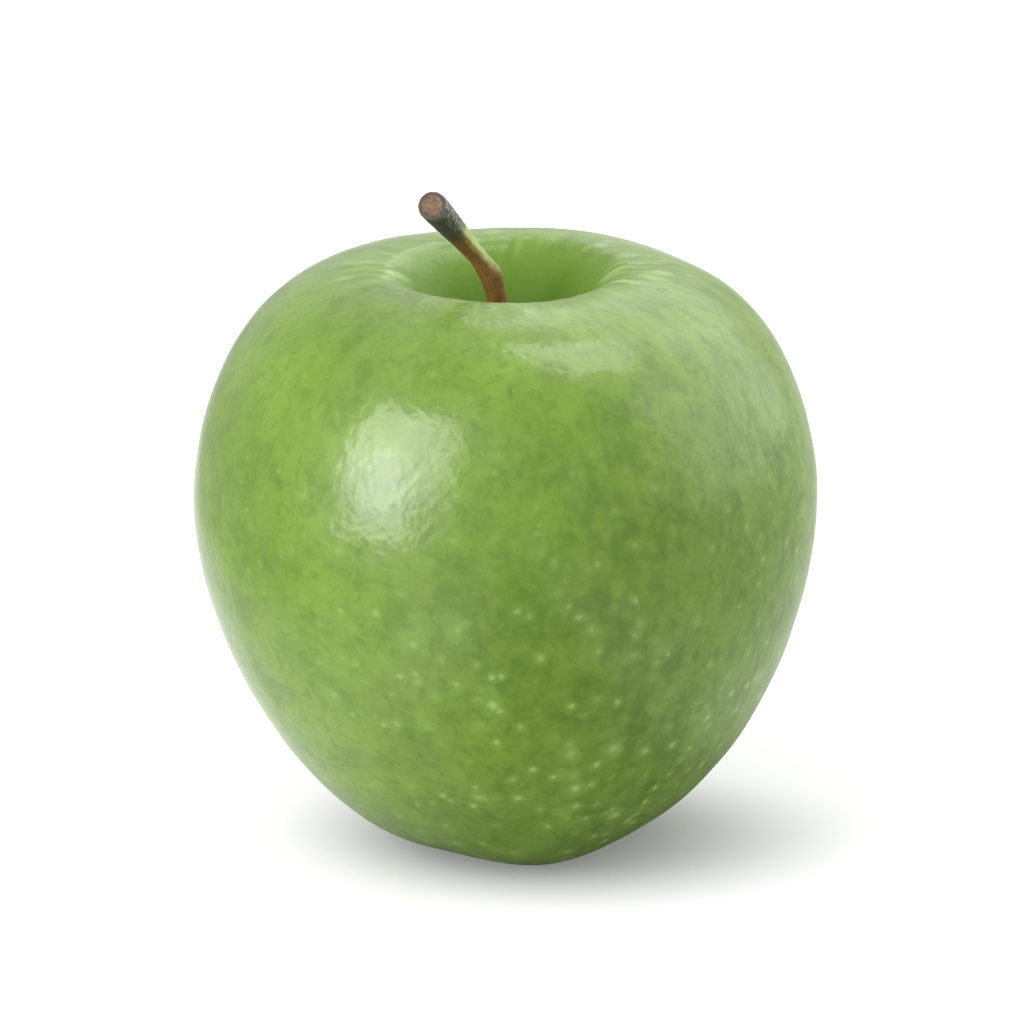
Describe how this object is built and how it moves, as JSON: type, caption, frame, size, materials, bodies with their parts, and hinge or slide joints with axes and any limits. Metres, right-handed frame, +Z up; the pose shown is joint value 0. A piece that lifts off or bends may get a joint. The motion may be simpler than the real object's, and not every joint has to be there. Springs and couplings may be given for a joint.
{
  "type": "green apple",
  "caption": "Fresh green apple with a leaning woody stem in its cavity and a dried calyx in the hollow of its base; it stands on small worn pads.",
  "frame": {"origin": "on the surface the apple rests on, under the middle of its girth", "axes": "+Z up along the core towards the stem; the stem leans towards -X and -Y, which is the side seen in front; the foot sits slightly to +X"},
  "size_m": [0.0764, 0.0764, 0.0837],
  "materials": {
    "apple_skin": "waxed green apple skin, satin to glossy",
    "stem_bark": "thin brown bark with a pale cut end",
    "dried_calyx": "dry brown sepals, matt"
  },
  "bodies": {
    "root": {"fruit": "apple_skin", "stem": "stem_bark", "calyx": "dried_calyx"}
  },
  "joints": []
}
